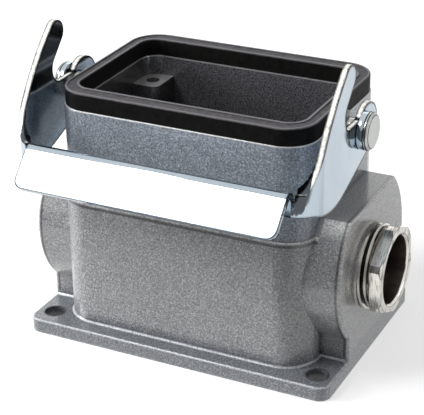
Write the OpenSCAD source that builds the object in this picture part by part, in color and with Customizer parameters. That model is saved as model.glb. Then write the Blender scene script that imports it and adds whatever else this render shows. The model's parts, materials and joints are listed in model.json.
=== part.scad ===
// Surface-mounting housing of a heavy duty rectangular connector, size 6 of the B pattern,
// with one locking lever and one side cable entry. All sizes in millimetres, +Z up.
// Origin: centre of the mounting face. X runs along the long side, -Y is the lever side.
// The lever is drawn open, as it stands when a hood can be set down on the seal.

/* [Housing casting] */
// Thickness of the mounting flange
flange_t = 3.5; // [2.5:0.1:6]
// Corner radius of the flange
flange_r = 3.0; // [1:0.1:6]
// Edge radius between the flange top and its sides
flange_edge = 0.6; // [0.3:0.1:1]
// Mounting hole spacing along X
hole_span_x = 70.0; // [66:0.5:76]
// Mounting hole spacing along Y
hole_span_y = 44.0; // [42:0.5:50]
// Distance of the hole centres from the ends of the flange, where the end faces stand flush
hole_end = 4.4; // [4:0.1:8]
// Distance of the hole centres from the long sides of the flange
hole_side = 5.3; // [4:0.1:8]
// Mounting hole diameter
hole_d = 5.0; // [4:0.1:5.6]
// Fillet where tower and webs stand on the flange
foot_r = 0.7; // [0.3:0.1:1]
// Length of the tower below the ledge
tower_l = 64.7; // [63.5:0.1:66]
// Width of the tower below the ledge
tower_w = 46.2; // [45:0.1:48]
// Corner radius of the tower
tower_r = 8.3; // [5:0.1:9]
// Height of the small ledge between tower and neck
ledge_z = 35.6; // [30:0.1:38]
// How far the ledge stands out from the neck on each side
ledge_s = 0.6; // [0.3:0.05:0.8]
// Edge radius along the ledge
ledge_edge = 0.5; // [0.2:0.05:0.7]
// Height where the full neck wall ends and the rim tongue begins
rim_z = 58.5; // [57.9:0.1:60]
// Edge radius of the neck under the seal
rim_edge = 0.3; // [0.2:0.05:0.6]
// Height of the rim tongue inside the seal
tongue_h = 3.0; // [2.6:0.1:3.2]
// Length of the open cavity
cavity_l = 56.5; // [54:0.1:58]
// Width of the open cavity
cavity_w = 35.9; // [34.5:0.1:37]
// Corner radius of the cavity
cavity_r = 4.0; // [2:0.5:5]
// Thickness of the closed floor
floor_t = 3.0; // [2:0.1:5]

/* [End blocks] */
// Radius of the large round of both end blocks
block_r = 20.4; // [18:0.1:21]
// Height of the axis of that round
block_z = 24.3; // [23:0.1:27]
// Height of the flat roof of the end blocks
roof_z = 39.2; // [36:0.1:41]
// Edge radius at the end faces of the blocks
block_edge = 0.8; // [0.5:0.1:3]
// Edge radius along the roof
roof_edge = 0.5; // [0.4:0.1:2]
// Width of the web under each block, between the mounting holes
web_w = 28.0; // [20:0.5:32]
// Vertical edge radius of the web
web_edge = 0.5; // [0.3:0.1:2]
// End wall left in the closed block
blind_wall = 3.6; // [2:0.1:6]
// End wall that carries the entry thread
entry_wall = 6.4; // [4:0.1:8]
// Wall left around the hollow of each block
block_wall = 3.5; // [2:0.1:5]

/* [Insert lugs] */
// Height of the lug faces that the contact insert lands on
lug_z = 53.5; // [48:0.1:56]
// Height of each lug
lug_h = 9.0; // [5:0.5:14]
// Distance of each lug hole from the centre along X
lug_x = 24.9; // [22:0.1:25.6]
// Distance of each lug hole from the centre along Y
lug_y = 13.5; // [12:0.1:15]
// Length of each lug measured from the cavity wall along X
lug_l = 6.8; // [5:0.1:9]
// Width of each lug measured from the cavity wall along Y
lug_w = 8.8; // [5:0.1:10]
// Corner radius of each lug
lug_r = 1.8; // [1:0.1:4]
// Diameter of the tapped lug hole
lug_hole_d = 3.3; // [2.5:0.1:4]
// Depth of the tapped lug hole
lug_hole_h = 7.5; // [4:0.5:12]

/* [Rim seal] */
// How far the outside of the seal stays inside the outside of the neck
seal_out_s = 0.3; // [0:0.05:0.5]
// How far the opening of the seal stays behind the cavity wall
seal_in_s = 0.25; // [0:0.05:0.4]
// Height of the seal above the neck wall
seal_h = 4.15; // [3.8:0.05:6]
// Edge radius along the top of the seal
seal_edge = 0.3; // [0.2:0.05:0.5]
// Thickness of the outer and inner skirts of the seal
skirt_t = 0.9; // [0.7:0.05:1.2]
// Width of each of the two lips along the top of the seal
lip_w = 0.6; // [0.4:0.05:1]
// Height of the lips above the face between them
lip_h = 0.25; // [0.1:0.05:0.5]

/* [Lever pivot] */
// Pivot axis position along Y
pivot_y = -4.0; // [-6:0.1:2]
// Pivot axis height
pivot_z = 57.5; // [54:0.1:58.5]
// Diameter of the pivot pin shank
pin_d = 5.0; // [4:0.1:5.4]
// Radius of the cast boss around each pin
boss_r = 3.9; // [3.4:0.1:4.2]
// How far the cast boss stands out from the neck
boss_out = 1.5; // [0.5:0.1:2.5]
// Depth of the pin hole in boss and wall
pin_hole_h = 3.8; // [2.5:0.1:4.2]
// Diameter of the washer and of the pin head
head_d = 8.8; // [7:0.1:10]
// Thickness of the washer between lever and pin head
washer_t = 1.45; // [0.8:0.05:2]
// Thickness of the pin head without its bevel
head_t = 0.55; // [0.4:0.05:1.5]
// Bevel of the pin head, both ways
head_bevel = 0.6; // [0.3:0.05:1]

/* [Locking lever] */
// Sheet thickness of the lever
lever_t = 1.5; // [1:0.1:2]
// Clear width between the two lever arms
lever_gap = 71.9; // [70:0.1:76]
// Inner bend radius between arm and front strip
bend_r = 4.0; // [2:0.1:6]
// Distance of the outer face of the front strip from the pivot axis
strip_reach = 27.6; // [26:0.1:30]
// Depth of the lower edge of the front strip below the pivot axis
strip_low = 10.5; // [9:0.1:12]
// Depth of the upper edge of the corner bends below the pivot axis
strip_high = 5.2; // [4:0.1:6]
// Depth of the fold between strip and grip plate below the pivot axis
fold_low = 6.7; // [6.2:0.1:8]
// Rear lobe radius
lobe_r = 5.6; // [5:0.1:7]
// Rear lobe centre behind the pivot axis
lobe_y = 3.4; // [1:0.1:5]
// Rear lobe centre below the pivot axis
lobe_low = 0.4; // [0:0.1:2]
// Radius of the hook notch
notch_r = 3.6; // [3:0.1:5]
// Hook notch centre in front of the pivot axis
notch_y = 7.0; // [6.5:0.1:8]
// Hook notch centre above the pivot axis
notch_z = 6.4; // [6:0.1:8]
// Fillet between notch floor and rear lobe
lobe_fillet = 1.5; // [0.8:0.1:2]
// Tip radius of the front horn
horn_r = 2.9; // [2:0.1:4]
// Tip centre of the front horn, in front of the pivot axis
horn_y = 7.8; // [6:0.1:10]
// Tip centre of the front horn above the pivot axis
horn_z = 14.9; // [12:0.1:16]
// Radius of the long front edge of the arms
front_r = 65.6; // [50:0.5:90]
// Where the front edge meets the bends: distance in front of the pivot axis
front_y = 25.5; // [24:0.1:27]
// Where the front edge meets the bends: depth below the pivot axis
front_low = 3.2; // [1:0.1:4.5]
// Radius of the belly under the arms
belly_r = 18.0; // [14:0.5:25]
// Belly centre in front of the pivot axis
belly_y = 16.8; // [14:0.1:18]
// Belly centre above the pivot axis
belly_z = 5.6; // [4:0.1:7]
// Width of the grip plate
grip_w = 64.4; // [56:0.2:66]
// Length of the grip plate from the fold to its free edge
grip_l = 9.3; // [6:0.1:14]
// Angle of the grip plate below the horizontal
grip_a = 46.8; // [30:0.2:60]
// Corner radius of the grip plate
grip_r = 2.2; // [1:0.1:4]
// Inner radius of the fold between strip and grip plate
fold_r = 0.6; // [0.3:0.1:1.5]
// Width of the relief cut beside the fold
relief_w = 0.9; // [0.5:0.1:1.5]

/* [Cable entry adaptor] */
// Height of the entry axis
entry_z = 22.2; // [20:0.1:25]
// Outside diameter of the adaptor thread
thread_d = 20.4; // [18:0.1:22]
// Diameter of the thread root, as the neck of the adaptor shows it
thread_root_d = 19.2; // [17:0.1:20]
// Visible length between the end face of the housing and the hexagon
collar_l = 2.9; // [2:0.1:4]
// Width across the flats of the hexagon
hex_af = 20.0; // [19:0.5:24]
// Thickness of the hexagon
hex_t = 3.0; // [2:0.1:5]
// Chamfer on the outer corners of the hexagon
hex_edge = 0.6; // [0.3:0.1:1]
// Diameter of the chamfer circle on the hexagon
hex_round = 22.2; // [20.5:0.1:24]
// Turn of the hexagon about the entry axis
hex_turn = 6; // [0:1:30]
// Diameter of the adaptor bore
bore_d = 16.3; // [14:0.1:17]
// Chamfer at the mouth of the bore
bore_edge = 0.6; // [0.3:0.1:1]

/* [Fits] */
// Radial clearance of the lever on its pins
run_fit = 0.05; // [0.02:0.01:0.1]
// Clearance between the seal and the metal it sits on
seal_fit = 0.05; // [0.02:0.01:0.1]
// Gap between lever arm, washer and pin head
side_fit = 0.05; // [0.03:0.01:0.2]
// Radial clearance of the adaptor thread in the casting
thread_fit = 0.03; // [0.01:0.01:0.1]

/* [Hidden] */
$fn = 96;

flange_l = hole_span_x + 2 * hole_end;
flange_w = hole_span_y + 2 * hole_side;
end_x = flange_l / 2;
neck_l = tower_l - 2 * ledge_s;
neck_w = tower_w - 2 * ledge_s;
neck_r = tower_r - ledge_s;
neck_x = neck_l / 2;
seal_l = neck_l - 2 * seal_out_s;
seal_w = neck_w - 2 * seal_out_s;
seal_r = neck_r - seal_out_s;
open_l = cavity_l + 2 * seal_in_s;
open_w = cavity_w + 2 * seal_in_s;
open_r = cavity_r + seal_in_s;
tongue_l = seal_l - 2 * skirt_t - 2 * seal_fit;
tongue_w = seal_w - 2 * skirt_t - 2 * seal_fit;
tongue_r = seal_r - skirt_t - seal_fit;
tongue_in_l = open_l + 2 * skirt_t + 2 * seal_fit;
tongue_in_w = open_w + 2 * skirt_t + 2 * seal_fit;
tongue_in_r = open_r + skirt_t + seal_fit;
boss_x = neck_x + boss_out;
arm_x = lever_gap / 2;
face_x = arm_x + lever_t;
pin_in_x = boss_x - pin_hole_h;
head_x = face_x + 2 * side_fit + washer_t;
bend_out = bend_r + lever_t;
fold_out = fold_r + lever_t;
pivot = [0, pivot_y, pivot_z];
// How far a face or an edge that runs into a round is tucked inside it
tuck = 0.003;

// Unit vector at an angle
function dir(a) = [cos(a), sin(a)];

// Normal of the line that touches circle A on its left and circle B at rb from its centre.
// A negative rb puts circle B on the other side of the line.
function touch(a, ra, b, rb) =
    dir(atan2(b[1] - a[1], b[0] - a[0]) + acos((ra - rb) / norm(b - a)));

// Point at ra from A and rb from B, to the left on the way from A to B
function meet(a, ra, b, rb) =
    let (d = norm(b - a), x = (d * d + ra * ra - rb * rb) / (2 * d), u = (b - a) / d)
    a + x * u + sqrt(ra * ra - x * x) * [-u[1], u[0]];

// Plate with four rounded corners, centred
module rounded(l, w, r) {
    square([l - 2 * r, w], center = true);
    square([l, w - 2 * r], center = true);
    for (x = [-1, 1], y = [-1, 1]) translate([x * (l / 2 - r), y * (w / 2 - r)]) circle(r);
}

// Section of the fillet between the flange and a wall that stands on it and ends at x = 0
module foot_section(r) {
    translate([0, flange_t]) difference() {
        translate([-1, -1]) square(1 + r - tuck);
        translate([r - tuck, r - tuck]) circle(r);
    }
}

// Upright section from x = -w / 2 to w / 2 and height h, with an edge radius e at the top
// and a fillet at the flange
module soft_section(w, h, e, foot = 0) {
    translate([-w / 2, 0]) square([w, h - e]);
    translate([e - w / 2, 0]) square([w - 2 * e, h]);
    for (s = [-1, 1]) translate([s * (w / 2 - e), h - e]) circle(e);
    if (foot > 0) for (s = [0, 1]) mirror([s, 0]) translate([w / 2, 0]) foot_section(foot);
}

// Block on a rounded plate, with an edge radius e around its top and a fillet at the flange
module soft_block(l, w, r, h, e, foot = 0) {
    along_x(r - l / 2, l / 2 - r) soft_section(w, h, e, foot);
    along_y(w - 2 * r) soft_section(l, h, e, foot);
    for (x = [-1, 1], y = [-1, 1]) translate([x * (l / 2 - r), y * (w / 2 - r)])
        rotate_extrude() intersection() {
            soft_section(2 * r, h, e, foot);
            square([r + foot, h]);
        }
}

// Stands a YZ drawing up and gives it a thickness along X from x0 to x1
module along_x(x0, x1) {
    translate([x0, 0, 0]) rotate([90, 0, 90]) linear_extrude(x1 - x0) children();
}

// Stands an XZ drawing up, centred over the width w
module along_y(w) {
    translate([0, w / 2, 0]) rotate([90, 0, 0]) linear_extrude(w) children();
}

// Places a piece that is drawn on the +X side on both ends
module both_ends() {
    children();
    mirror([1, 0, 0]) children();
}

// ---------------------------------------------------------------- housing casting

// Section of an end block: a round cut flat by the roof, with an edge radius at the cut
module block_section() {
    cz = roof_z - block_z - roof_edge;
    cy = sqrt(pow(block_r - roof_edge, 2) - cz * cz);
    for (s = [-1, 1]) translate([s * cy, block_z + cz]) circle(roof_edge);
    translate([0, block_z]) difference() {
        circle(block_r);
        translate([-block_r, cz + roof_edge]) square([2 * block_r, block_r]);
        for (s = [-1, 1]) let (p = [s * cy, cz])
            polygon([p, p + [0, 2 * roof_edge], p * (1 + 2 * roof_edge / norm(p))]);
    }
}

// One end block on the +X side, without its hollow
module end_block() {
    x0 = cavity_l / 2;
    depth = end_x - x0;
    intersection() {
        translate([x0, 0, block_z]) rotate([0, 90, 0]) rotate_extrude() {
            square([block_r - block_edge, depth]);
            square([block_r, depth - block_edge]);
            translate([block_r - block_edge, depth - block_edge]) intersection() {
                circle(block_edge);
                square(block_edge);
            }
        }
        along_x(x0, end_x) block_section();
        along_y(2 * block_r) {
            translate([x0, 0]) square([depth, roof_z - roof_edge]);
            translate([x0, 0]) square([depth - roof_edge, roof_z]);
            translate([end_x - roof_edge, roof_z - roof_edge]) circle(roof_edge);
        }
    }
    // web down to the flange
    linear_extrude(block_z) {
        translate([x0, -web_w / 2]) square([depth - web_edge, web_w]);
        translate([x0, -web_w / 2 + web_edge]) square([depth, web_w - 2 * web_edge]);
        for (y = [-1, 1])
            translate([end_x - web_edge, y * (web_w / 2 - web_edge)]) circle(web_edge);
    }
    along_x(x0, end_x - flange_edge)
        for (s = [0, 1]) mirror([s, 0]) translate([web_w / 2, 0]) foot_section(foot_r);
}

// Hollow of an end block, open to the cavity, up to the given end wall
module block_hollow(wall) {
    r = block_r - block_wall;
    along_x(cavity_l / 2 - lug_l, end_x - wall) translate([0, block_z]) intersection() {
        circle(r);
        translate([-r, -r]) square([2 * r, r + roof_z - block_z - block_wall]);
    }
}

// Corner lug for an insert screw, drawn for the +X +Y corner
module lug() {
    x0 = cavity_l / 2 - lug_l;
    y0 = cavity_w / 2 - lug_w;
    translate([0, 0, lug_z - lug_h]) linear_extrude(lug_h) intersection() {
        union() {
            translate([x0 + lug_r, y0]) square([lug_l, lug_w + 1]);
            translate([x0, y0 + lug_r]) square([lug_l + 1, lug_w]);
            translate([x0 + lug_r, y0 + lug_r]) circle(lug_r);
        }
        rounded(cavity_l + 1, cavity_w + 1, cavity_r + 0.5);
    }
}

// Outside of the casting, solid
module shell() {
    soft_block(flange_l, flange_w, flange_r, flange_t, flange_edge);
    soft_block(tower_l, tower_w, tower_r, ledge_z, ledge_edge, foot_r);
    soft_block(neck_l, neck_w, neck_r, rim_z, rim_edge);
    linear_extrude(rim_z + tongue_h) rounded(tongue_l, tongue_w, tongue_r);
    both_ends() end_block();
}

// Open cavity, its wider mouth for the inner skirt of the seal, and the hollows of the blocks
module inside() {
    translate([0, 0, floor_t]) linear_extrude(rim_z + tongue_h)
        rounded(cavity_l, cavity_w, cavity_r);
    translate([0, 0, rim_z]) linear_extrude(tongue_h + 1)
        rounded(tongue_in_l, tongue_in_w, tongue_in_r);
    block_hollow(entry_wall);
    mirror([1, 0, 0]) block_hollow(blind_wall);
}

module housing() color([0.47, 0.49, 0.52]) difference() {
    union() {
        difference() {
            shell();
            inside();
        }
        for (x = [0, 1], y = [0, 1]) mirror([x, 0, 0]) mirror([0, y, 0]) lug();
        // cast bosses that carry the pivot pins
        both_ends() translate([tongue_in_l / 2, pivot_y, pivot_z]) rotate([0, 90, 0])
            cylinder(h = boss_x - tongue_in_l / 2, r = boss_r);
    }
    for (x = [-1, 1], y = [-1, 1]) {
        translate([x * hole_span_x / 2, y * hole_span_y / 2, -1])
            cylinder(h = flange_t + 2, d = hole_d);
        translate([x * lug_x, y * lug_y, lug_z - lug_hole_h])
            cylinder(h = lug_hole_h + 1, d = lug_hole_d);
    }
    both_ends() translate([pin_in_x, pivot_y, pivot_z]) rotate([0, 90, 0])
        cylinder(h = pin_hole_h + 1, d = pin_d);
    translate([end_x - entry_wall - 1, 0, entry_z]) rotate([0, 90, 0])
        cylinder(h = entry_wall + 2, d = thread_d + 2 * thread_fit);
}

// ---------------------------------------------------------------- rim seal

module rim_seal() color([0.08, 0.08, 0.08]) difference() {
    translate([0, 0, rim_z]) soft_block(seal_l, seal_w, seal_r, seal_h, seal_edge);
    translate([0, 0, rim_z - 1]) linear_extrude(seal_h + 2) rounded(open_l, open_w, open_r);
    // channel over the rim tongue
    translate([0, 0, rim_z - 1]) linear_extrude(1 + tongue_h + seal_fit) difference() {
        rounded(tongue_l + 2 * seal_fit, tongue_w + 2 * seal_fit, tongue_r + seal_fit);
        rounded(tongue_in_l - 2 * seal_fit, tongue_in_w - 2 * seal_fit, tongue_in_r - seal_fit);
    }
    // shallow recess that leaves two lips on the sealing face
    translate([0, 0, rim_z + seal_h - lip_h]) linear_extrude(lip_h + 1) difference() {
        rounded(seal_l - 2 * lip_w, seal_w - 2 * lip_w, seal_r - lip_w);
        rounded(open_l + 2 * lip_w, open_w + 2 * lip_w, open_r + lip_w);
    }
    // half-round cuts in the outer skirt around the pin bosses
    both_ends() translate([tongue_l / 2 + seal_fit, pivot_y, pivot_z]) rotate([0, 90, 0])
        cylinder(h = skirt_t + 1, r = boss_r + seal_fit);
}

// ---------------------------------------------------------------- locking lever

// Side view of an arm, pivot axis at the origin, front to the left
module arm_section() {
    lobe = [lobe_y, -lobe_low];
    belly = [-belly_y, belly_z];
    notch = [-notch_y, notch_z];
    horn = [-horn_y, horn_z];
    foot = [-front_y, -front_low];
    // straight lower edge under lobe and belly, straight edge between horn and notch
    n = touch(lobe, lobe_r, belly, belly_r);
    m = touch(horn, horn_r, notch, -notch_r);
    // long front edge, from the foot to the tip of the horn
    front = meet(horn, front_r - horn_r, foot, front_r);
    tip = horn + horn_r * (horn - front) / norm(horn - front);
    // fillet between the notch floor and the rear lobe
    floor_z = notch_z - notch_r;
    fillet_z = floor_z + lobe_fillet + lobe_low;
    fillet = [lobe_y - sqrt(pow(lobe_r + lobe_fillet, 2) - fillet_z * fillet_z),
              floor_z + lobe_fillet];
    difference() {
        union() {
            intersection() {
                union() {
                    polygon([horn + (horn_r - tuck) * m, notch - (notch_r - tuck) * m, notch,
                             [-notch_y, floor_z + tuck], [fillet[0], floor_z + tuck], fillet,
                             lobe, lobe + (lobe_r - tuck) * n, belly + (belly_r - tuck) * n,
                             [-front_y, -strip_low], [-strip_reach, -strip_low],
                             [-strip_reach, horn_z], tip, horn]);
                    intersection() {
                        translate(belly) circle(belly_r);
                        translate([-2 * belly_r, -2 * belly_r]) square(2 * belly_r);
                    }
                }
                translate(front) circle(front_r);
            }
            translate(horn) circle(horn_r);
            translate(lobe) circle(lobe_r);
        }
        translate(notch) circle(notch_r);
        translate(fillet) circle(lobe_fillet);
    }
}

// Plan of the folded sheet, pivot axis on y = 0: two arms, two corner bends and the front strip
module sheet_plan() {
    bend_x = arm_x - bend_r;
    bend_y = bend_out - strip_reach;
    translate([0, lever_t / 2 - strip_reach]) square([2 * bend_x, lever_t], center = true);
    for (s = [-1, 1]) {
        translate([s * (arm_x + lever_t / 2), bend_y + strip_reach])
            square([lever_t, 2 * strip_reach], center = true);
        translate([s * bend_x, bend_y]) intersection() {
            difference() {
                circle(bend_out);
                circle(bend_r);
            }
            translate([s * bend_out / 2, -bend_out / 2]) square(bend_out, center = true);
        }
    }
}

// Upper part of the front strip, the fold over it and the grip plate, seen from the side
module grip_section() {
    translate([-strip_reach, -strip_low]) square([lever_t, strip_low - fold_low]);
    translate([-strip_reach - fold_r, -fold_low]) {
        difference() {
            circle(fold_out);
            circle(fold_r);
            translate([-fold_out, -2 * fold_out]) square(2 * fold_out);
            rotate(grip_a) translate([-2 * fold_out, -fold_out]) square(2 * fold_out);
        }
        rotate(grip_a) translate([-grip_l, fold_r]) square([grip_l, lever_t]);
    }
}

// What the rounding of the free corner on the +X side takes off the grip plate
module grip_corner() {
    translate([grip_w / 2 - grip_r, grip_r - grip_l, 0]) linear_extrude(2 * fold_out)
        difference() {
            translate([0, -grip_r - 1]) square(grip_r + 1);
            circle(grip_r);
        }
}

module locking_lever() color([0.82, 0.84, 0.87]) translate(pivot) {
    difference() {
        intersection() {
            translate([0, 0, -belly_r]) linear_extrude(2 * (horn_z + belly_r)) sheet_plan();
            along_x(-face_x, face_x) {
                arm_section();
                translate([-strip_reach, -strip_low])
                    square([bend_out, strip_low - strip_high]);
            }
        }
        // the strip is lower where the grip plate folds over it, with a relief cut at each end
        translate([-grip_w / 2 - relief_w, -strip_reach - 1, -fold_low])
            cube([grip_w + 2 * relief_w, lever_t + bend_r, belly_r]);
        rotate([0, 90, 0]) cylinder(h = 3 * face_x, d = pin_d + 2 * run_fit, center = true);
    }
    difference() {
        along_x(-grip_w / 2, grip_w / 2) grip_section();
        both_ends() translate([0, -strip_reach - fold_r, -fold_low]) rotate([grip_a, 0, 0])
            grip_corner();
    }
}

// ---------------------------------------------------------------- pivot pins and washers

// Shouldered pin on the +X side: shank in the boss, head outside the washer
module pivot_pin() {
    translate([0, pivot_y, pivot_z]) rotate([0, 90, 0]) {
        translate([0, 0, pin_in_x]) cylinder(h = head_x - pin_in_x, d = pin_d);
        translate([0, 0, head_x]) cylinder(h = head_t, d = head_d);
        translate([0, 0, head_x + head_t])
            cylinder(h = head_bevel, d1 = head_d, d2 = head_d - 2 * head_bevel);
    }
}

// Washer between lever arm and pin head on the +X side
module pivot_washer() {
    translate([face_x + side_fit, pivot_y, pivot_z]) rotate([0, 90, 0]) difference() {
        cylinder(h = washer_t, d = head_d);
        translate([0, 0, -1]) cylinder(h = washer_t + 2, d = pin_d + 2 * run_fit);
    }
}

module pivot_pin_left() color([0.8, 0.8, 0.78]) mirror([1, 0, 0]) pivot_pin();
module pivot_pin_right() color([0.8, 0.8, 0.78]) pivot_pin();
module pivot_washer_left() color([0.75, 0.76, 0.78]) mirror([1, 0, 0]) pivot_washer();
module pivot_washer_right() color([0.75, 0.76, 0.78]) pivot_washer();

// ---------------------------------------------------------------- cable entry adaptor

module cable_entry_adaptor() color([0.75, 0.72, 0.65]) {
    hex_x = entry_wall + collar_l;
    end = hex_x + hex_t;
    translate([end_x - entry_wall, 0, entry_z]) rotate([0, 90, 0]) difference() {
        union() {
            cylinder(h = entry_wall, d = thread_d);
            cylinder(h = hex_x + 1, d = thread_root_d);
            // hexagon with turned corners
            intersection() {
                translate([0, 0, hex_x]) rotate(hex_turn)
                    cylinder(h = hex_t, d = hex_af / cos(30), $fn = 6);
                rotate_extrude() polygon([[0, 0], [hex_round / 2, 0],
                    [hex_round / 2, end - hex_edge], [hex_round / 2 - hex_edge, end], [0, end]]);
            }
        }
        translate([0, 0, -1]) cylinder(h = end + 2, d = bore_d);
        translate([0, 0, end - bore_edge])
            cylinder(h = bore_edge, d1 = bore_d, d2 = bore_d + 2 * bore_edge);
    }
}

housing();
rim_seal();
locking_lever();
pivot_pin_left();
pivot_pin_right();
pivot_washer_left();
pivot_washer_right();
cable_entry_adaptor();
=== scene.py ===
import json
import math

import bmesh
import bpy
from mathutils import Matrix, Vector


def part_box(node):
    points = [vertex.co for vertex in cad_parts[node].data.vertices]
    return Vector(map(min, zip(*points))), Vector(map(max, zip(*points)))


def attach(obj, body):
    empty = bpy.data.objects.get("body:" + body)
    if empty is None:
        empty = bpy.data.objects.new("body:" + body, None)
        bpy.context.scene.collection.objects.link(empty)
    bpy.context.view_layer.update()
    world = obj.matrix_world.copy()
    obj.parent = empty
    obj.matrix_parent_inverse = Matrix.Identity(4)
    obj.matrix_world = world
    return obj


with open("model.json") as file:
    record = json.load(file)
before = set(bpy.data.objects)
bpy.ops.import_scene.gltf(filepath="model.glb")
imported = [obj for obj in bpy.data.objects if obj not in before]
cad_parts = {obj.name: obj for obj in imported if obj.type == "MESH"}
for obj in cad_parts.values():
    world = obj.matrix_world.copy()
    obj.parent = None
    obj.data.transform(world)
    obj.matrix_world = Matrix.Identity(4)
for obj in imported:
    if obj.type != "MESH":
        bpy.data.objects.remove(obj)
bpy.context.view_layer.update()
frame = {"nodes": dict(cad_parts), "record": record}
MM = 0.001
MOUNTS = {mount["name"]: mount for mount in frame["record"]["mounts"]}

# Places on the casting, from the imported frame
SEAL_LOW, SEAL_HIGH = (Vector(corner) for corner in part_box("rim_seal"))
CAVITY_X = SEAL_HIGH.x - 3.2 * MM
CAVITY_Y = SEAL_HIGH.y - 4.25 * MM
RIM_Z = SEAL_LOW.z
LUG_Z = MOUNTS["insert_screws"]["pos_m"][2]
FLANGE_Z = MOUNTS["mounting_holes"]["pos_m"][2]
END_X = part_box("housing")[1][0]
SHOULDER_X = SEAL_HIGH.x + 1.2 * MM
LEDGE_Z = 35.6 * MM
ROOF_Z = 39.2 * MM
HOLES = MOUNTS["mounting_holes"]["dims"]
HOLE_X = HOLES["spacing_x_mm"] / 2 * MM
HOLE_Y = HOLES["spacing_y_mm"] / 2 * MM
HOLE_R = HOLES["hole_r_mm"] * MM
LEVER_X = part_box("locking_lever")[1][0]
LEVER_T = 1.5 * MM
ARM_X = LEVER_X - LEVER_T
BEND_X = LEVER_X - 3 * LEVER_T
ENTRY_Z = MOUNTS["cable_entry"]["pos_m"][2]
BORE_R = MOUNTS["cable_entry"]["dims"]["r_mm"] * MM
THREAD_PITCH = 1.5 * MM
THREAD_ROOT_R = 9.55 * MM
THREAD_CREST_R = 10.2 * MM
THREAD_LENGTH = 2.15 * MM
STEPS_PER_TURN = 72


# ---------------------------------------------------------------- shader helpers

class Shader:
    """A node material that is built one node at a time."""

    def __init__(self, name):
        self.material = bpy.data.materials.new(name)
        self.material.use_nodes = True
        self.tree = self.material.node_tree
        self.bsdf = self.tree.nodes["Principled BSDF"]
        self.place = self.add("ShaderNodeTexCoord").outputs["Object"]
        self.axes = None
        self.normals = None

    def add(self, kind, **settings):
        node = self.tree.nodes.new(kind)
        for key, value in settings.items():
            setattr(node, key, value)
        return node

    def link(self, source, target):
        self.tree.links.new(source, target)

    def noise(self, scale, detail=4.0, rough=0.6, place=None):
        node = self.add("ShaderNodeTexNoise")
        node.inputs["Scale"].default_value = scale
        node.inputs["Detail"].default_value = detail
        node.inputs["Roughness"].default_value = rough
        self.link(place or self.place, node.inputs["Vector"])
        return node.outputs["Fac"]

    def stretched(self, scale):
        """Object coordinates scaled along each axis."""
        node = self.add("ShaderNodeMapping")
        node.inputs["Scale"].default_value = scale
        self.link(self.place, node.inputs["Vector"])
        return node.outputs["Vector"]

    def ramp(self, source, stops):
        node = self.add("ShaderNodeValToRGB")
        elements = node.color_ramp.elements
        while len(elements) < len(stops):
            elements.new(0.5)
        for element, (position, colour) in zip(elements, stops):
            element.position = position
            if not isinstance(colour, tuple):
                colour = (colour, colour, colour)
            element.color = (*colour, 1.0)
        self.link(source, node.inputs["Fac"])
        return node.outputs["Color"]

    def mix(self, a, b, factor=0.5, kind="MIX"):
        """Mixes two colours. A colour or the factor may be a plain value or a socket."""
        node = self.add("ShaderNodeMix", data_type="RGBA", blend_type=kind)
        self.put(factor, node.inputs["Factor"])
        self.put(a, node.inputs["A"])
        self.put(b, node.inputs["B"])
        return node.outputs["Result"]

    def put(self, value, socket):
        if isinstance(value, bpy.types.NodeSocket):
            self.link(value, socket)
        elif isinstance(value, tuple):
            socket.default_value = (*value, 1.0)
        elif socket.type == "RGBA":
            socket.default_value = (value, value, value, 1.0)
        else:
            socket.default_value = value

    def math(self, operation, a, b=0.0):
        node = self.add("ShaderNodeMath", operation=operation)
        self.put(a, node.inputs[0])
        self.put(b, node.inputs[1])
        return node.outputs["Value"]

    def axis(self, letter):
        if self.axes is None:
            self.axes = self.add("ShaderNodeSeparateXYZ")
            self.link(self.place, self.axes.inputs["Vector"])
        return self.axes.outputs[letter]

    def facing(self, letter):
        if self.normals is None:
            self.normals = self.add("ShaderNodeSeparateXYZ")
            normal = self.add("ShaderNodeTexCoord").outputs["Normal"]
            self.link(normal, self.normals.inputs["Vector"])
        return self.normals.outputs[letter]

    def openness(self, distance, inside=False):
        """1 on open ground, less in hollow corners, or with inside near outward edges."""
        node = self.add("ShaderNodeAmbientOcclusion", samples=8, inside=inside, only_local=True)
        node.inputs["Distance"].default_value = distance
        return node.outputs["AO"]

    def rise(self, source, low, high):
        """0 below low, 1 above high, or the other way round when low is larger."""
        node = self.add("ShaderNodeMapRange")
        node.inputs["From Min"].default_value = low
        node.inputs["From Max"].default_value = high
        self.link(source, node.inputs["Value"])
        return node.outputs["Result"]

    def both(self, a, b):
        return self.math("MULTIPLY", a, b)

    def either(self, a, b):
        return self.math("MAXIMUM", a, b)

    def minus(self, a, b):
        return self.math("SUBTRACT", a, b)

    def size(self, source):
        return self.math("ABSOLUTE", source)

    def tinted(self, colour, tint, mask):
        """Multiplies the colour by the tint where the mask is 1."""
        return self.mix(colour, self.mix(colour, tint, 1.0, "MULTIPLY"), mask)

    def band(self, source, low, high, soft):
        """1 between low and high, and 0 beyond them."""
        return self.both(self.rise(source, low - soft, low), self.rise(source, high + soft, high))

    def length(self, a, b):
        """Length of the diagonal of two distances."""
        return self.math("SQRT", self.math("ADD", self.both(a, a), self.both(b, b)))

    def bump(self, source, strength, distance, after=None):
        node = self.add("ShaderNodeBump")
        node.inputs["Strength"].default_value = strength
        node.inputs["Distance"].default_value = distance
        self.link(source, node.inputs["Height"])
        if after:
            self.link(after, node.inputs["Normal"])
        return node.outputs["Normal"]

    def finish(self, colour=None, rough=None, normal=None, metal=None, **values):
        sources = (("Base Color", colour), ("Roughness", rough), ("Normal", normal),
                   ("Metallic", metal))
        for socket, source in sources:
            if source:
                self.link(source, self.bsdf.inputs[socket])
        for name, value in values.items():
            self.bsdf.inputs[name.replace("_", " ")].default_value = value
        return self.material


# ---------------------------------------------------------------- materials

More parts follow.
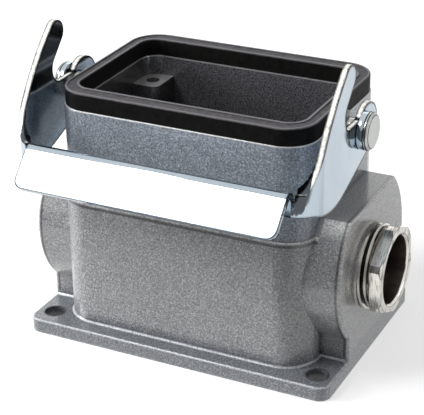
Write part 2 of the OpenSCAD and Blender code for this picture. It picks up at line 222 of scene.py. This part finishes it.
def speckle(s, peel):
    """Grey speckle of the paint, a little cloudy, with painted shade that darkens the corners."""
    tone = s.ramp(peel, [(0.30, (0.11, 0.112, 0.118)), (0.44, (0.215, 0.218, 0.227)),
                         (0.56, (0.30, 0.303, 0.313)), (0.70, (0.54, 0.545, 0.56))])
    cloud = s.ramp(s.noise(60, 3, 0.5), [(0.3, 0.92), (0.7, 1.0)])
    # painted shade: darker in the hollow corners
    corner_shade = s.ramp(s.openness(1.8 * MM), [(0.4, 0.22), (0.88, 1.0)])
    return s.mix(s.mix(tone, cloud, 1.0, "MULTIPLY"), corner_shade, 1.0, "MULTIPLY")


def wear_and_painted_highlights(s, across, hole, inward):
    """Mask of the outward edges, with light wear and painted highlight, and of painted highlights
    on the flange rounds and fillets, the ledge, the end-face rims and the block shoulders.
    """
    height = s.axis("Z")
    sloping = s.both(s.rise(s.facing("Z"), 0.2, 0.45), s.rise(s.facing("Z"), 0.97, 0.88))
    off_hole = s.rise(hole, HOLE_R + 0.6 * MM, HOLE_R + 0.9 * MM)
    # outward edges: light edge wear and painted highlight
    edges = s.both(s.rise(s.openness(0.7 * MM, inside=True), 0.9, 0.5), off_hole)
    # painted highlight band along the ledge
    ledge = s.both(s.band(height, LEDGE_Z - 0.5 * MM, LEDGE_Z + 0.1 * MM, 0.1 * MM), sloping)
    ledge = s.both(ledge, inward)
    # painted highlight on the sloping rounds and fillets at the flange and the ledge
    rounds = s.both(s.either(flange_mask(s), s.both(ledge, 0.6)), sloping)
    # painted highlight along the rims of the end faces
    rims = s.both(s.rise(across, END_X - 0.7 * MM, END_X - 0.5 * MM),
                  s.rise(s.size(s.facing("X")), 0.97, 0.9))
    rounds = s.both(s.either(rounds, s.both(rims, 0.6)), off_hole)
    # painted highlight on the shoulders of the end blocks
    shoulder = s.both(s.rise(height, ROOF_Z - 3.6 * MM, ROOF_Z - 0.6 * MM), sloping)
    shoulder = s.both(shoulder, s.rise(across, SHOULDER_X, SHOULDER_X + 0.5 * MM))
    return s.either(s.both(s.either(s.both(edges, 0.6), rounds), 0.75), shoulder)


def painted_shade_lines(s, across, hole, inward):
    """Mask of the painted shade lines beside the end faces, below the ledge and round the holes.
    """
    height = s.axis("Z")
    ends = s.both(s.band(across, END_X - 1.3 * MM, END_X - 0.85 * MM, 0.1 * MM),
                  s.rise(height, FLANGE_Z + 1.0 * MM, FLANGE_Z + 1.5 * MM))
    ledge = s.band(height, LEDGE_Z - 1.25 * MM, LEDGE_Z - 0.7 * MM, 0.15 * MM)
    holes = s.both(s.rise(hole, HOLE_R + 0.45 * MM, HOLE_R + 0.3 * MM), flange_mask(s))
    return s.either(s.either(ends, s.both(ledge, inward)), holes)


def flange_mask(s):
    """Mask of the flange with the fillet that stands on it."""
    return s.rise(s.axis("Z"), FLANGE_Z + 1.2 * MM, FLANGE_Z + 1.0 * MM)


def cavity_mask(s, across, along):
    """Mask of the inside of the housing, above its floor."""
    walls = s.both(s.rise(across, CAVITY_X + 0.15 * MM, CAVITY_X + 0.1 * MM),
                   s.rise(along, CAVITY_Y + 0.15 * MM, CAVITY_Y + 0.1 * MM))
    return s.both(walls, s.rise(s.axis("Z"), FLANGE_Z - 1.2 * MM, FLANGE_Z - 1.0 * MM))


def machined_mask(s, across, cavity):
    """Mask of the lug tops and of the rim, where insert and seal lie on bright metal."""
    height = s.axis("Z")
    lug = s.rise(s.size(s.minus(height, LUG_Z)), 0.15 * MM, 0.1 * MM)
    lug = s.both(lug, s.both(cavity, s.rise(s.facing("Z"), 0.85, 0.95)))
    rim = s.both(s.rise(height, RIM_Z - 0.3 * MM, RIM_Z - 0.22 * MM),
                 s.rise(across, SEAL_HIGH.x + 0.4 * MM, SEAL_HIGH.x + 0.35 * MM))
    return s.either(lug, rim)


def casting_paint():
    """Grey textured paint: orange peel, fine pits and a light grey speckle. The outward edges
    carry light wear and painted highlight, painted highlights lie on the rounds, ledge, rims
    and shoulders, and painted shade darkens the corners and draws dark lines.

    The cavity is painted dark as shade, and the faces that the seal and the insert
    land on are machined bright."""
    s = Shader("casting_paint")
    peel = s.noise(2500, 2, 0.6)
    grain = s.noise(5200, 2, 0.6)
    height = s.axis("Z")
    across = s.size(s.axis("X"))
    along = s.size(s.axis("Y"))
    hole = s.length(s.minus(across, HOLE_X), s.minus(along, HOLE_Y))
    inward = s.rise(across, SHOULDER_X + 0.2 * MM, SHOULDER_X)

    # light tone for edge wear and painted highlights
    wear_and_highlight_tone = s.ramp(peel, [(0.35, 0.4), (0.55, 0.95)])
    colour = s.mix(speckle(s, peel), wear_and_highlight_tone, wear_and_painted_highlights(s, across, hole, inward))
    # painted shade: dark lines beside the end faces, below the ledge and round the holes
    colour = s.tinted(colour, (0.3, 0.3, 0.3), painted_shade_lines(s, across, hole, inward))
    # painted light and shade: the neck is tinted a little cooler than the tower below its ledge,
    # and the flange darker
    neck = s.both(s.rise(height, RIM_Z - 23 * MM, RIM_Z - 22 * MM),
                  s.rise(across, SEAL_HIGH.x + 0.75 * MM, SEAL_HIGH.x + 0.65 * MM))
    colour = s.tinted(colour, (0.87, 0.96, 1.07), neck)
    foot = s.rise(height, FLANGE_Z + 3 * MM, FLANGE_Z + 1 * MM)
    colour = s.tinted(colour, (0.64, 0.68, 0.73), foot)

    cavity = cavity_mask(s, across, along)
    # painted shade: the cavity is darkened, and its end walls facing X darker still
    skin = s.ramp(peel, [(0.35, (0.02, 0.02, 0.022)), (0.65, (0.15, 0.15, 0.165))])
    skin = s.tinted(skin, (0.3, 0.3, 0.3), s.rise(s.size(s.facing("X")), 0.3, 0.8))
    colour = s.mix(colour, skin, cavity)
    machined = machined_mask(s, across, cavity)
    colour = s.mix(colour, (0.42, 0.42, 0.43), machined)

    rough = s.ramp(grain, [(0.3, 0.33), (0.7, 0.6)])
    normal = s.bump(grain, 0.35, 0.05 * MM, s.bump(peel, 0.7, 0.14 * MM))
    s.link(s.bump(peel, 0.35, 0.03 * MM), s.bsdf.inputs["Coat Normal"])
    return s.finish(colour, rough, normal, s.both(machined, 0.5),
                    Coat_Weight=1.0, Coat_Roughness=0.15)


def seal_rubber():
    """Black moulded rubber, lighter on its upward face and lips as painted sheen and highlight."""
    s = Shader("seal_rubber")
    skin = s.noise(700, 5, 0.6)
    side = s.ramp(skin, [(0.3, (0.004, 0.004, 0.004)), (0.7, (0.009, 0.0085, 0.008))])
    # painted sheen on the upward face and painted highlight along the lips
    top_sheen = s.ramp(skin, [(0.3, (0.05, 0.048, 0.052)), (0.7, (0.13, 0.125, 0.132))])
    top = s.rise(s.axis("Z"), SEAL_HIGH.z - 0.4 * MM, SEAL_HIGH.z - 0.25 * MM)
    lip_highlight = s.rise(s.axis("Z"), SEAL_HIGH.z - 0.15 * MM, SEAL_HIGH.z - 0.02 * MM)
    colour = s.mix(s.mix(side, top_sheen, top), (0.26, 0.25, 0.27), s.both(lip_highlight, 0.7))
    rough = s.ramp(skin, [(0.3, 0.45), (0.7, 0.6)])
    return s.finish(colour, rough, s.bump(skin, 0.2, 0.03 * MM), Specular_IOR_Level=0.08)


def zinc_sheet(name, is_lever=False):
    """Bright zinc plated sheet with faint rolling marks. On the lever the sheared faces of arms
    and corner bends are matt and painted pale as a highlight, and painted shade darkens the
    arrises."""
    s = Shader(name)
    rolled = s.noise(260, 4, 0.6, s.stretched((0.25, 3.0, 3.0)))
    cloud = s.noise(120, 3, 0.5)
    colour = s.ramp(cloud, [(0.3, (0.45, 0.52, 0.585)), (0.7, (0.51, 0.58, 0.64))])
    rough = s.ramp(rolled, [(0.3, 0.08), (0.7, 0.14)])
    if is_lever:
        # painted shade: dark lines along the arrises
        arris = s.rise(s.openness(0.9 * MM, inside=True), 0.88, 0.68)
        across = s.size(s.axis("X"))
        arms = s.both(s.rise(across, ARM_X - 0.1 * MM, ARM_X),
                      s.rise(s.size(s.facing("X")), 0.5, 0.3))
        bends = s.both(s.rise(across, BEND_X, BEND_X + 0.1 * MM), s.rise(s.facing("Z"), 0.7, 0.8))
        sheared = s.either(arms, bends)
        # matt sheared faces, painted pale as a highlight
        sheared_tone_and_highlight = s.ramp(s.noise(900, 3, 0.7), [(0.35, (0.55, 0.55, 0.52)), (0.5, (0.9, 0.9, 0.86))])
        colour = s.mix(s.mix(colour, sheared_tone_and_highlight, sheared), (0.012, 0.013, 0.016), arris)
        rough = s.mix(rough, 0.75, sheared)
    return s.finish(colour, rough, s.bump(rolled, 0.04, 0.01 * MM), Metallic=1.0)


def dark_edge_reflection(name, colour):
    """Dull bevel along the arrises, its dark colour a painted dark reflection."""
    s = Shader(name)
    drawn = s.noise(1500, 3, 0.6)
    tone = s.ramp(drawn, [(0.3, colour), (0.7, tuple(1.6 * c for c in colour))])
    return s.finish(tone, s.ramp(drawn, [(0.3, 0.35), (0.7, 0.5)]), Metallic=1.0)


def plated_pin():
    """Turned and plated steel."""
    s = Shader("plated_pin")
    turned = s.noise(900, 3, 0.5, s.stretched((4.0, 0.5, 0.5)))
    colour = s.ramp(turned, [(0.3, (0.40, 0.42, 0.40)), (0.7, (0.47, 0.485, 0.46))])
    rough = s.ramp(turned, [(0.3, 0.1), (0.7, 0.2)])
    return s.finish(colour, rough, s.bump(turned, 0.06, 0.01 * MM), Metallic=1.0)


def nickel():
    """Warm nickel plating over turned brass, dull inside the bore. Painted shade darkens the bore,
    the undercut and the thread roots, and painted highlight lightens the thread crests.
    """
    s = Shader("nickel")
    turned = s.noise(700, 3, 0.5, s.stretched((6.0, 0.6, 0.6)))
    colour = s.ramp(turned, [(0.32, (0.26, 0.25, 0.23)), (0.45, (0.64, 0.62, 0.575)),
                             (0.7, (0.78, 0.755, 0.70))])
    radius = s.length(s.minus(s.axis("Z"), ENTRY_Z), s.axis("Y"))
    bore = s.rise(radius, BORE_R + 0.12 * MM, BORE_R + 0.05 * MM)
    root = s.rise(radius, THREAD_ROOT_R + 0.25 * MM, THREAD_ROOT_R + 0.1 * MM)
    thread_end = END_X + THREAD_LENGTH
    undercut = s.both(root, s.rise(s.axis("X"), thread_end + 0.7 * MM, thread_end + 0.6 * MM))
    neck = s.both(root, s.rise(s.axis("X"), thread_end + 0.1 * MM, thread_end))
    # painted shade in the undercut, between the thread ridges and inside the bore
    colour = s.mix(colour, (0.22, 0.205, 0.18), undercut)
    colour = s.mix(colour, (0.02, 0.018, 0.016), neck)
    colour = s.mix(colour, (0.085, 0.07, 0.062), bore)
    crest = s.both(s.rise(radius, THREAD_CREST_R - 0.2 * MM, THREAD_CREST_R - 0.1 * MM),
                   s.rise(s.axis("X"), thread_end + 0.1 * MM, thread_end))
    # painted highlight on the thread crests
    colour = s.mix(colour, (0.92, 0.89, 0.83), crest)
    rough = s.mix(s.ramp(turned, [(0.3, 0.1), (0.7, 0.2)]), 0.4, s.either(bore, crest))
    return s.finish(colour, rough, s.bump(turned, 0.08, 0.015 * MM), Metallic=1.0)


# ---------------------------------------------------------------- finishing the CAD nodes

def dress(node, material, edge, edge_material=None):
    """Gives a CAD node its material and softens its sharp edges by the given width."""
    piece = frame["nodes"][node]
    piece.data.materials.clear()
    piece.data.materials.append(material)
    weld = piece.modifiers.new("weld", "WELD")
    weld.merge_threshold = 0.002 * MM
    flat = piece.modifiers.new("flat", "DECIMATE")
    flat.decimate_type = "DISSOLVE"
    flat.angle_limit = math.radians(0.4)
    bevel = piece.modifiers.new("edge", "BEVEL")
    bevel.width = edge
    bevel.segments = 2
    bevel.limit_method = "ANGLE"
    bevel.angle_limit = math.radians(35)
    bevel.harden_normals = True
    if edge_material:
        piece.data.materials.append(edge_material)
        bevel.material = 1
    return piece


zinc = zinc_sheet("zinc_sheet")
pin = plated_pin()
brass = nickel()
# painted dark reflection on the bevels of the pins, washers and adaptor
zinc_edge = dark_edge_reflection("zinc_edge", (0.04, 0.045, 0.05))
brass_edge = dark_edge_reflection("brass_edge", (0.05, 0.046, 0.04))
dress("housing", casting_paint(), 0.22 * MM)
dress("rim_seal", seal_rubber(), 0.1 * MM)
dress("locking_lever", zinc_sheet("lever_sheet", is_lever=True), 0.15 * MM)
dress("cable_entry_adaptor", brass, 0.2 * MM, brass_edge)
for side in ("left", "right"):
    dress(f"pivot_pin_{side}", pin, 0.12 * MM, zinc_edge)
    dress(f"pivot_washer_{side}", zinc, 0.12 * MM, zinc_edge)


# ---------------------------------------------------------------- thread of the adaptor

def entry_thread():
    """Right-hand helical ridge on the neck of the adaptor, from the face of the end block
    on. It fades out at both ends."""
    flank = 0.30 * THREAD_PITCH
    crest = 0.18 * THREAD_PITCH
    fade_steps = STEPS_PER_TURN / 6
    steps = round(THREAD_LENGTH / THREAD_PITCH * STEPS_PER_TURN)
    mesh = bmesh.new()
    rings = []
    for step in range(steps + 1):
        angle = 2 * math.pi * step / STEPS_PER_TURN
        middle = END_X + THREAD_PITCH * step / STEPS_PER_TURN
        fade = min(1.0, step / fade_steps, (steps - step) / fade_steps)
        top = THREAD_ROOT_R + (THREAD_CREST_R - THREAD_ROOT_R) * fade
        section = ((-flank, THREAD_ROOT_R), (-crest, top), (crest, top), (flank, THREAD_ROOT_R))
        rings.append([mesh.verts.new((middle + shift, -radius * math.sin(angle),
                                      ENTRY_Z + radius * math.cos(angle)))
                      for shift, radius in section])
    for a, b in zip(rings, rings[1:]):
        for i in range(4):
            mesh.faces.new((a[i], b[i], b[(i + 1) % 4], a[(i + 1) % 4]))
    mesh.faces.new(rings[0])
    mesh.faces.new(reversed(rings[-1]))
    bmesh.ops.recalc_face_normals(mesh, faces=mesh.faces)
    data = bpy.data.meshes.new("entry_thread")
    mesh.to_mesh(data)
    mesh.free()
    data.materials.append(brass)
    thread = bpy.data.objects.new("entry_thread", data)
    bpy.context.scene.collection.objects.link(thread)
    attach(thread, "body")


entry_thread()


# ---------------------------------------------------------------- camera

AZIMUTH = math.radians(26.72)
ELEVATION = math.radians(25.70)
ROLL = math.radians(-0.94)
IMAGE_W = 424
FOCAL = 1514.66
CAMERA_PLACE = Vector((146.525, -295.515, 187.966)) * MM


def make_camera():
    back = Vector((math.sin(AZIMUTH) * math.cos(ELEVATION),
                   -math.cos(AZIMUTH) * math.cos(ELEVATION), math.sin(ELEVATION)))
    right = Vector((math.cos(AZIMUTH), math.sin(AZIMUTH), 0.0))
    up = back.cross(right)
    turned_right = right * math.cos(ROLL) + up * math.sin(ROLL)
    turned_up = up * math.cos(ROLL) - right * math.sin(ROLL)
    data = bpy.data.cameras.new("camera")
    data.sensor_width = 36.0
    data.lens = FOCAL * data.sensor_width / IMAGE_W
    data.clip_start, data.clip_end = 0.01, 10.0
    camera = bpy.data.objects.new("camera", data)
    camera.matrix_world = Matrix((
        (turned_right.x, turned_up.x, back.x, CAMERA_PLACE.x),
        (turned_right.y, turned_up.y, back.y, CAMERA_PLACE.y),
        (turned_right.z, turned_up.z, back.z, CAMERA_PLACE.z),
        (0.0, 0.0, 0.0, 1.0)))
    bpy.context.scene.collection.objects.link(camera)
    bpy.context.scene.camera = camera


make_camera()


# ---------------------------------------------------------------- floor, world and lights

TABLE_EDGE = -0.075
FLOOR_SIZE = 6.0
FLOOR_DROP = 0.2 * MM
AIM = (0.0, 0.0, 0.03)


def math_node(tree, operation, a, b):
    """Links a and b, or sets b where it is a plain number."""
    node = tree.nodes.new("ShaderNodeMath")
    node.operation = operation
    tree.links.new(a, node.inputs[0])
    if isinstance(b, float):
        node.inputs[1].default_value = b
    else:
        tree.links.new(b, node.inputs[1])
    return node.outputs["Value"]


def map_node(tree, source, low, high, to_low=0.0, to_high=1.0):
    node = tree.nodes.new("ShaderNodeMapRange")
    node.inputs["From Min"].default_value = low
    node.inputs["From Max"].default_value = high
    node.inputs["To Min"].default_value = to_low
    node.inputs["To Max"].default_value = to_high
    tree.links.new(source, node.inputs["Value"])
    return node.outputs["Result"]


def seen(tree):
    """1 for camera, glossy and transmission rays, which see the background as white."""
    path = tree.nodes.new("ShaderNodeLightPath").outputs
    total = math_node(tree, "MAXIMUM", path["Is Camera Ray"], path["Is Glossy Ray"])
    return math_node(tree, "MAXIMUM", total, path["Is Transmission Ray"])


def make_floor():
    """Pale table that shows white and keeps the shadow of the object. It ends in front."""
    place = (0.0, FLOOR_SIZE / 2 + TABLE_EDGE, -FLOOR_DROP)
    bpy.ops.mesh.primitive_plane_add(size=FLOOR_SIZE, location=place)
    floor = bpy.context.object
    floor.name = "floor"
    material = bpy.data.materials.new("floor")
    material.use_nodes = True
    tree = material.node_tree
    bsdf = tree.nodes["Principled BSDF"]
    bsdf.inputs["Base Color"].default_value = (0.65, 0.65, 0.65, 1.0)
    bsdf.inputs["Roughness"].default_value = 0.9
    bsdf.inputs["Specular IOR Level"].default_value = 0.0
    bsdf.inputs["Emission Color"].default_value = (1.0, 1.0, 1.0, 1.0)
    lift = math_node(tree, "MULTIPLY", seen(tree), 0.6)
    tree.links.new(lift, bsdf.inputs["Emission Strength"])
    floor.data.materials.append(material)


def make_world():
    """Even light for the object. The camera and gloss see white, and gloss also sees the
    dark room in front of the white floor."""
    world = bpy.data.worlds.new("world")
    bpy.context.scene.world = world
    world.use_nodes = True
    tree = world.node_tree
    background = tree.nodes["Background"]
    background.inputs["Color"].default_value = (1.0, 1.0, 1.0, 1.0)
    direction = tree.nodes.new("ShaderNodeSeparateXYZ")
    place = tree.nodes.new("ShaderNodeTexCoord").outputs["Generated"]
    tree.links.new(place, direction.inputs["Vector"])
    glossy = tree.nodes.new("ShaderNodeLightPath").outputs["Is Glossy Ray"]
    front = map_node(tree, direction.outputs["Y"], -0.35, -0.6)
    below = map_node(tree, direction.outputs["Z"], 0.62, 0.45)
    room = math_node(tree, "MULTIPLY", math_node(tree, "MULTIPLY", front, below), glossy)
    strength = math_node(tree, "MULTIPLY", map_node(tree, seen(tree), 0.0, 1.0, 0.25, 1.0),
                         map_node(tree, room, 0.0, 1.0, 1.0, 0.18))
    tree.links.new(strength, background.inputs["Strength"])


def area_light(name, place, size, power):
    """Rectangular lamp that points at the middle of the object."""
    data = bpy.data.lights.new(name, "AREA")
    data.shape = "RECTANGLE"
    data.size, data.size_y = size
    data.energy = power
    lamp = bpy.data.objects.new(name, data)
    lamp.location = place
    lamp.rotation_euler = (Vector(AIM) - Vector(place)).to_track_quat("-Z", "Y").to_euler()
    bpy.context.scene.collection.objects.link(lamp)


make_floor()
make_world()
area_light("left", (-0.86, -0.43, 0.36), (0.4, 0.5), 10.0)
area_light("top", (-0.38, -0.40, 0.78), (0.3, 0.3), 3.4)
area_light("right", (0.84, 0.38, 0.30), (0.4, 0.3), 0.6)
area_light("back", (-0.38, 0.78, 0.48), (0.5, 0.4), 0.4)

bpy.context.scene.view_settings.view_transform = "Standard"
